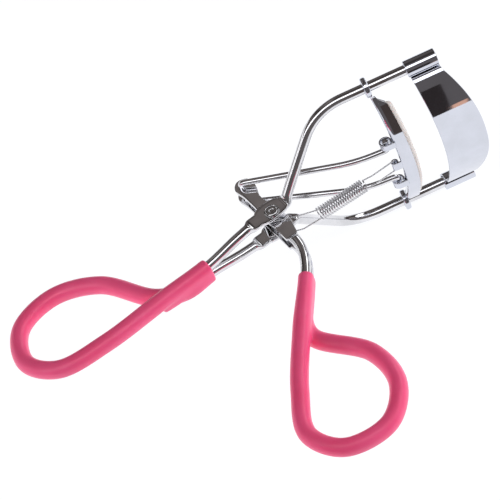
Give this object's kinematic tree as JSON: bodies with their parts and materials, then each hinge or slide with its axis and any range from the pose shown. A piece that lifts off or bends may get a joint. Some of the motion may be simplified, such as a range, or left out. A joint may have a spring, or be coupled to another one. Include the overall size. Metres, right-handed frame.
{
  "type": "eyelash curler",
  "caption": "Hand-held eyelash curler: bent-wire frame and lever with pink coated finger loops, a sliding padded jaw and a curved fixed jaw.",
  "frame": {"origin": "centre of the underside of the whole part's box, with the tool lying on its side", "axes": "+X runs forward along the rails to the jaws, +Z is the rivet's axis and the width of the jaws, and -Y is the side that the jaws bulge to and the lever handle hangs on"},
  "size_m": [0.1064, 0.0748, 0.0405],
  "materials": {
    "chrome_wire": "polished nickel-chrome plate on drawn steel wire",
    "chrome_plate": "mirror-polished chrome plate on pressed steel",
    "rivet_steel": "turned steel, lightly plated",
    "spring_steel": "drawn spring wire",
    "pink_coat": "dipped soft vinyl, satin gloss",
    "white_pad": "matt white silicone rubber"
  },
  "bodies": {
    "frame": {"frame_wire": "chrome_wire", "frame_grip": "pink_coat", "fixed_jaw": "chrome_plate", "hinge_rivet": "rivet_steel", "left_washer": "rivet_steel", "right_washer": "rivet_steel", "return_spring": "spring_steel"},
    "lever": {"lever_wire": "chrome_wire", "lever_grip": "pink_coat"},
    "link": {"push_link": "chrome_wire"},
    "slider": {"moving_jaw": "chrome_plate", "jaw_pad": "white_pad"}
  },
  "joints": [
    {"name": "lever_pivot", "type": "hinge", "parent": "frame", "child": "lever", "pos_m": [0.00648, 0.02439, 0.02027], "axis": [0, 0, 1], "range_deg": [-30, 0], "stiffness_Nm_per_rad": 0.03, "springref_deg": 28.65},
    {"name": "link_pivot", "type": "hinge", "parent": "lever", "child": "link", "pos_m": [0.00323, 0.03519, 0.02027], "axis": [0, 0, 1], "range_deg": [0, 29.15]},
    {"name": "jaw_slide", "type": "slide", "parent": "frame", "child": "slider", "axis": [1, 0, 0], "range_m": [0, 0.00569], "deforming": ["return_spring"]}
  ],
  "couplings": [
    {"joint": "jaw_slide", "follows": "lever_pivot", "m_per_rad": -0.01085},
    {"joint": "link_pivot", "follows": "lever_pivot", "ratio": -0.97161}
  ]
}
